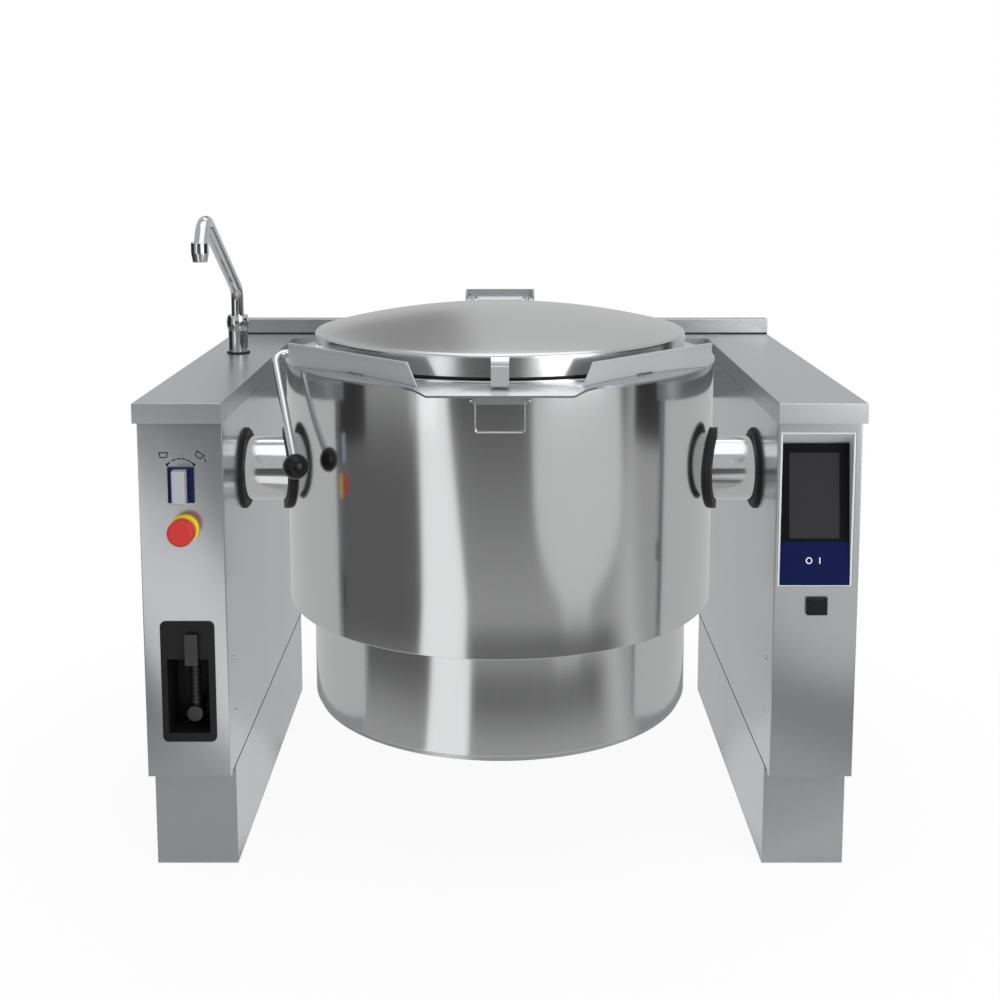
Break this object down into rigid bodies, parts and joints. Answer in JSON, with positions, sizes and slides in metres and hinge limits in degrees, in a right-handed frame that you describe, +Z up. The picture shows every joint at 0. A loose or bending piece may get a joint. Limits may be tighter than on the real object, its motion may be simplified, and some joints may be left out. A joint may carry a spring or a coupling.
{
  "type": "tilting boiling pan",
  "caption": "Free-standing tilting boiling pan: round jacketed vessel with a hinged lid and pouring lip, turning between two columns with a tap and controls.",
  "frame": {"origin": "on the floor, centre of the overall width and depth", "axes": "+X to the right seen from the front, +Y to the rear, +Z up"},
  "size_m": [1, 0.804, 0.9326],
  "materials": {
    "satin_steel": "fine brushed",
    "polished_steel": "polished",
    "frame_steel": "plain",
    "bright_steel": "polished",
    "chrome": "mirror",
    "gear_steel": "machined",
    "cast_housing": "painted grey",
    "motor_paint": "semi gloss",
    "bronze": "machined",
    "black_rubber": "matt",
    "black_plastic": "fine grained",
    "navy_plastic": "gloss",
    "silver_plastic": "satin",
    "stop_red": "gloss",
    "stop_yellow": "gloss",
    "display_glass": "gloss black",
    "grey_plastic": "satin",
    "mineral_wool": "fibrous"
  },
  "bodies": {
    "stand": {"left_plinth": "satin_steel", "right_plinth": "satin_steel", "left_casing": "satin_steel", "right_casing": "satin_steel", "left_cap": "satin_steel", "right_cap": "satin_steel", "left_front_panel": "satin_steel", "right_front_panel": "satin_steel", "left_frame": "frame_steel", "right_frame": "frame_steel", "cross_beam": "satin_steel", "upstand": "satin_steel", "bearing_housings": "cast_housing", "bearing_bushes": "bronze", "shaft_seals": "black_rubber", "gearmotor": "motor_paint", "tap_base": "chrome", "tap_nut": "chrome", "water_valve": "bronze", "switch_base": "navy_plastic", "stop_collar": "stop_yellow", "niche_frame": "black_plastic", "display_housing": "satin_steel", "display_glass": "display_glass", "port_socket": "black_plastic", "control_box": "grey_plastic", "contactor_row": "grey_plastic", "cable_gland": "black_plastic"},
    "pan": {"pan_deck": "satin_steel", "cladding": "polished_steel", "pan_casing": "polished_steel", "base_cover": "satin_steel", "vessel": "polished_steel", "jacket": "frame_steel", "heating_elements": "gear_steel", "insulation": "mineral_wool", "left_trunnion": "polished_steel", "right_trunnion": "polished_steel", "trunnion_collars": "black_rubber", "side_guards": "satin_steel", "clip_bar": "satin_steel", "hinge_bracket": "satin_steel", "hinge_pin": "bright_steel", "hinge_springs": "bright_steel", "tilt_sector": "gear_steel"},
    "lid": {"lid_shell": "satin_steel", "lid_seal": "black_rubber", "lid_tab": "satin_steel", "hinge_leaf": "satin_steel", "lid_lever": "bright_steel", "lever_ball": "black_plastic"},
    "pinion": {"drive_pinion": "gear_steel"},
    "tap": {"tap_spout": "chrome", "tap_nozzle": "chrome"},
    "tilt_knob": {"switch_knob": "silver_plastic"},
    "stop_head": {"stop_button": "stop_red"},
    "gun": {"spray_gun": "black_plastic"},
    "gun_trigger": {"spray_trigger": "black_plastic"},
    "clip": {"strainer_clip": "bright_steel"},
    "port_flap": {"port_cover": "black_plastic"}
  },
  "joints": [
    {"name": "pan_tilt", "type": "hinge", "parent": "stand", "child": "pan", "pos_m": [0, -0.143, 0.5585], "axis": [1, 0, 0], "range_deg": [0, 90]},
    {"name": "pinion_turn", "type": "hinge", "parent": "stand", "child": "pinion", "pos_m": [-0.442, -0.143, 0.446], "axis": [1, 0, 0], "range_deg": [-360, 0]},
    {"name": "lid_open", "type": "hinge", "parent": "pan", "child": "lid", "pos_m": [0, 0.248, 0.765], "axis": [-1, 0, 0], "range_deg": [0, 95]},
    {"name": "tap_swivel", "type": "hinge", "parent": "stand", "child": "tap", "pos_m": [-0.443, 0.139, 0.757], "axis": [0, 0, -1], "range_deg": [-75, 45]},
    {"name": "tilt_switch_turn", "type": "hinge", "parent": "stand", "child": "tilt_knob", "pos_m": [-0.439, -0.306, 0.573], "axis": [0, 1, 0], "range_deg": [-45, 45], "stiffness_Nm_per_rad": 0.05},
    {"name": "stop_press", "type": "slide", "parent": "stand", "child": "stop_head", "axis": [0, 1, 0], "range_m": [0, 0.004], "stiffness_N_per_m": 800},
    {"name": "gun_draw", "type": "slide", "parent": "stand", "child": "gun", "axis": [0, -1, 0], "range_m": [0, 0.12]},
    {"name": "trigger_pull", "type": "hinge", "parent": "gun", "child": "gun_trigger", "pos_m": [-0.43, -0.3025, 0.32], "axis": [1, 0, 0], "range_deg": [0, 15], "stiffness_Nm_per_rad": 0.02},
    {"name": "clip_swing", "type": "hinge", "parent": "pan", "child": "clip", "pos_m": [0, -0.4, 0.7078], "axis": [-1, 0, 0], "range_deg": [0, 75]},
    {"name": "port_cover_lift", "type": "hinge", "parent": "stand", "child": "port_flap", "pos_m": [0.4405, -0.3092, 0.4115], "axis": [-1, 0, 0], "range_deg": [0, 100]}
  ],
  "couplings": [
    {"joint": "pinion_turn", "follows": "pan_tilt", "ratio": -4}
  ]
}
